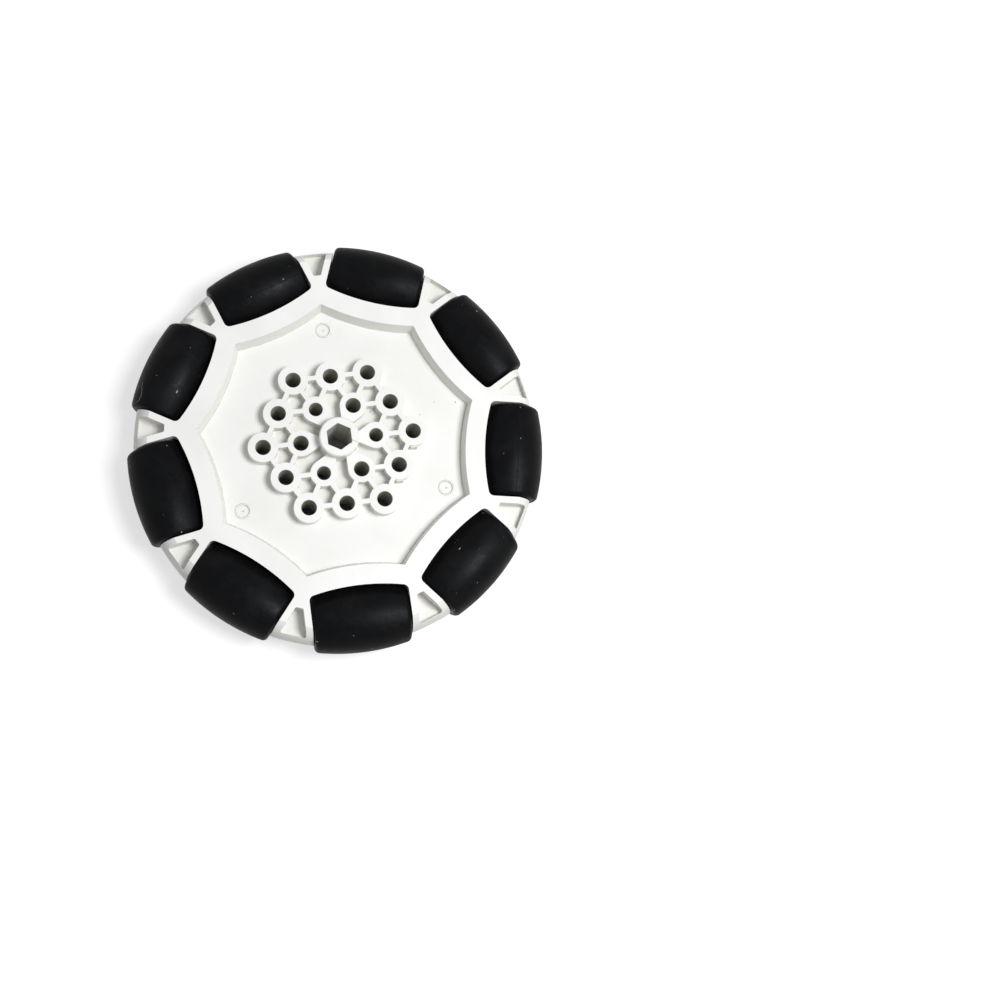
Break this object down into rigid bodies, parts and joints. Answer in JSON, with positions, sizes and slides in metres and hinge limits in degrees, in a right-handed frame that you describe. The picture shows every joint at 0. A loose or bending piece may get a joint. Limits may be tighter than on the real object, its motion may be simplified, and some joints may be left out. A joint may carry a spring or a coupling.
{
  "type": "omni wheel",
  "caption": "Flat omnidirectional wheel: a white moulded body with a hexagonal axle bore and a lattice of screw holes, ringed by black barrel rollers on steel pins.",
  "frame": {"origin": "centre of the wheel, on the axle's axis at the parting plane of the two body halves", "axes": "+Z along the axle out of the front face, +Y through the middle of a roller, +X across it; the wheel lies flat"},
  "size_m": [0.089, 0.0886, 0.015],
  "materials": {
    "body_plastic": "satin moulded white plastic",
    "roller_rubber": "satin black rubber",
    "core_plastic": "dark grey moulded plastic",
    "pin_steel": "drawn steel"
  },
  "bodies": {
    "wheel_body": {"body_front": "body_plastic", "body_back": "body_plastic", "axle_pin_1": "pin_steel", "axle_pin_2": "pin_steel", "axle_pin_3": "pin_steel", "axle_pin_4": "pin_steel", "axle_pin_5": "pin_steel", "axle_pin_6": "pin_steel", "axle_pin_7": "pin_steel", "axle_pin_8": "pin_steel", "axle_pin_9": "pin_steel"},
    "roller_1": {"roller_core_1": "core_plastic", "roller_tyre_1": "roller_rubber"},
    "roller_2": {"roller_core_2": "core_plastic", "roller_tyre_2": "roller_rubber"},
    "roller_3": {"roller_core_3": "core_plastic", "roller_tyre_3": "roller_rubber"},
    "roller_4": {"roller_core_4": "core_plastic", "roller_tyre_4": "roller_rubber"},
    "roller_5": {"roller_core_5": "core_plastic", "roller_tyre_5": "roller_rubber"},
    "roller_6": {"roller_core_6": "core_plastic", "roller_tyre_6": "roller_rubber"},
    "roller_7": {"roller_core_7": "core_plastic", "roller_tyre_7": "roller_rubber"},
    "roller_8": {"roller_core_8": "core_plastic", "roller_tyre_8": "roller_rubber"},
    "roller_9": {"roller_core_9": "core_plastic", "roller_tyre_9": "roller_rubber"}
  },
  "joints": [
    {"name": "roller_spin_1", "type": "hinge", "parent": "wheel_body", "child": "roller_1", "pos_m": [0.03703, 0.00653, 0], "axis": [-0.1736, 0.9848, 0], "continuous": true},
    {"name": "roller_spin_2", "type": "hinge", "parent": "wheel_body", "child": "roller_2", "pos_m": [0.02417, 0.0288, 0], "axis": [-0.766, 0.6428, 0], "continuous": true},
    {"name": "roller_spin_3", "type": "hinge", "parent": "wheel_body", "child": "roller_3", "pos_m": [0, 0.0376, 0], "axis": [-1, 0, 0], "continuous": true},
    {"name": "roller_spin_4", "type": "hinge", "parent": "wheel_body", "child": "roller_4", "pos_m": [-0.02417, 0.0288, 0], "axis": [-0.766, -0.6428, 0], "continuous": true},
    {"name": "roller_spin_5", "type": "hinge", "parent": "wheel_body", "child": "roller_5", "pos_m": [-0.03703, 0.00653, 0], "axis": [-0.1736, -0.9848, 0], "continuous": true},
    {"name": "roller_spin_6", "type": "hinge", "parent": "wheel_body", "child": "roller_6", "pos_m": [-0.03256, -0.0188, 0], "axis": [0.5, -0.866, 0], "continuous": true},
    {"name": "roller_spin_7", "type": "hinge", "parent": "wheel_body", "child": "roller_7", "pos_m": [-0.01286, -0.03533, 0], "axis": [0.9397, -0.342, 0], "continuous": true},
    {"name": "roller_spin_8", "type": "hinge", "parent": "wheel_body", "child": "roller_8", "pos_m": [0.01286, -0.03533, 0], "axis": [0.9397, 0.342, 0], "continuous": true},
    {"name": "roller_spin_9", "type": "hinge", "parent": "wheel_body", "child": "roller_9", "pos_m": [0.03256, -0.0188, 0], "axis": [0.5, 0.866, 0], "continuous": true}
  ]
}
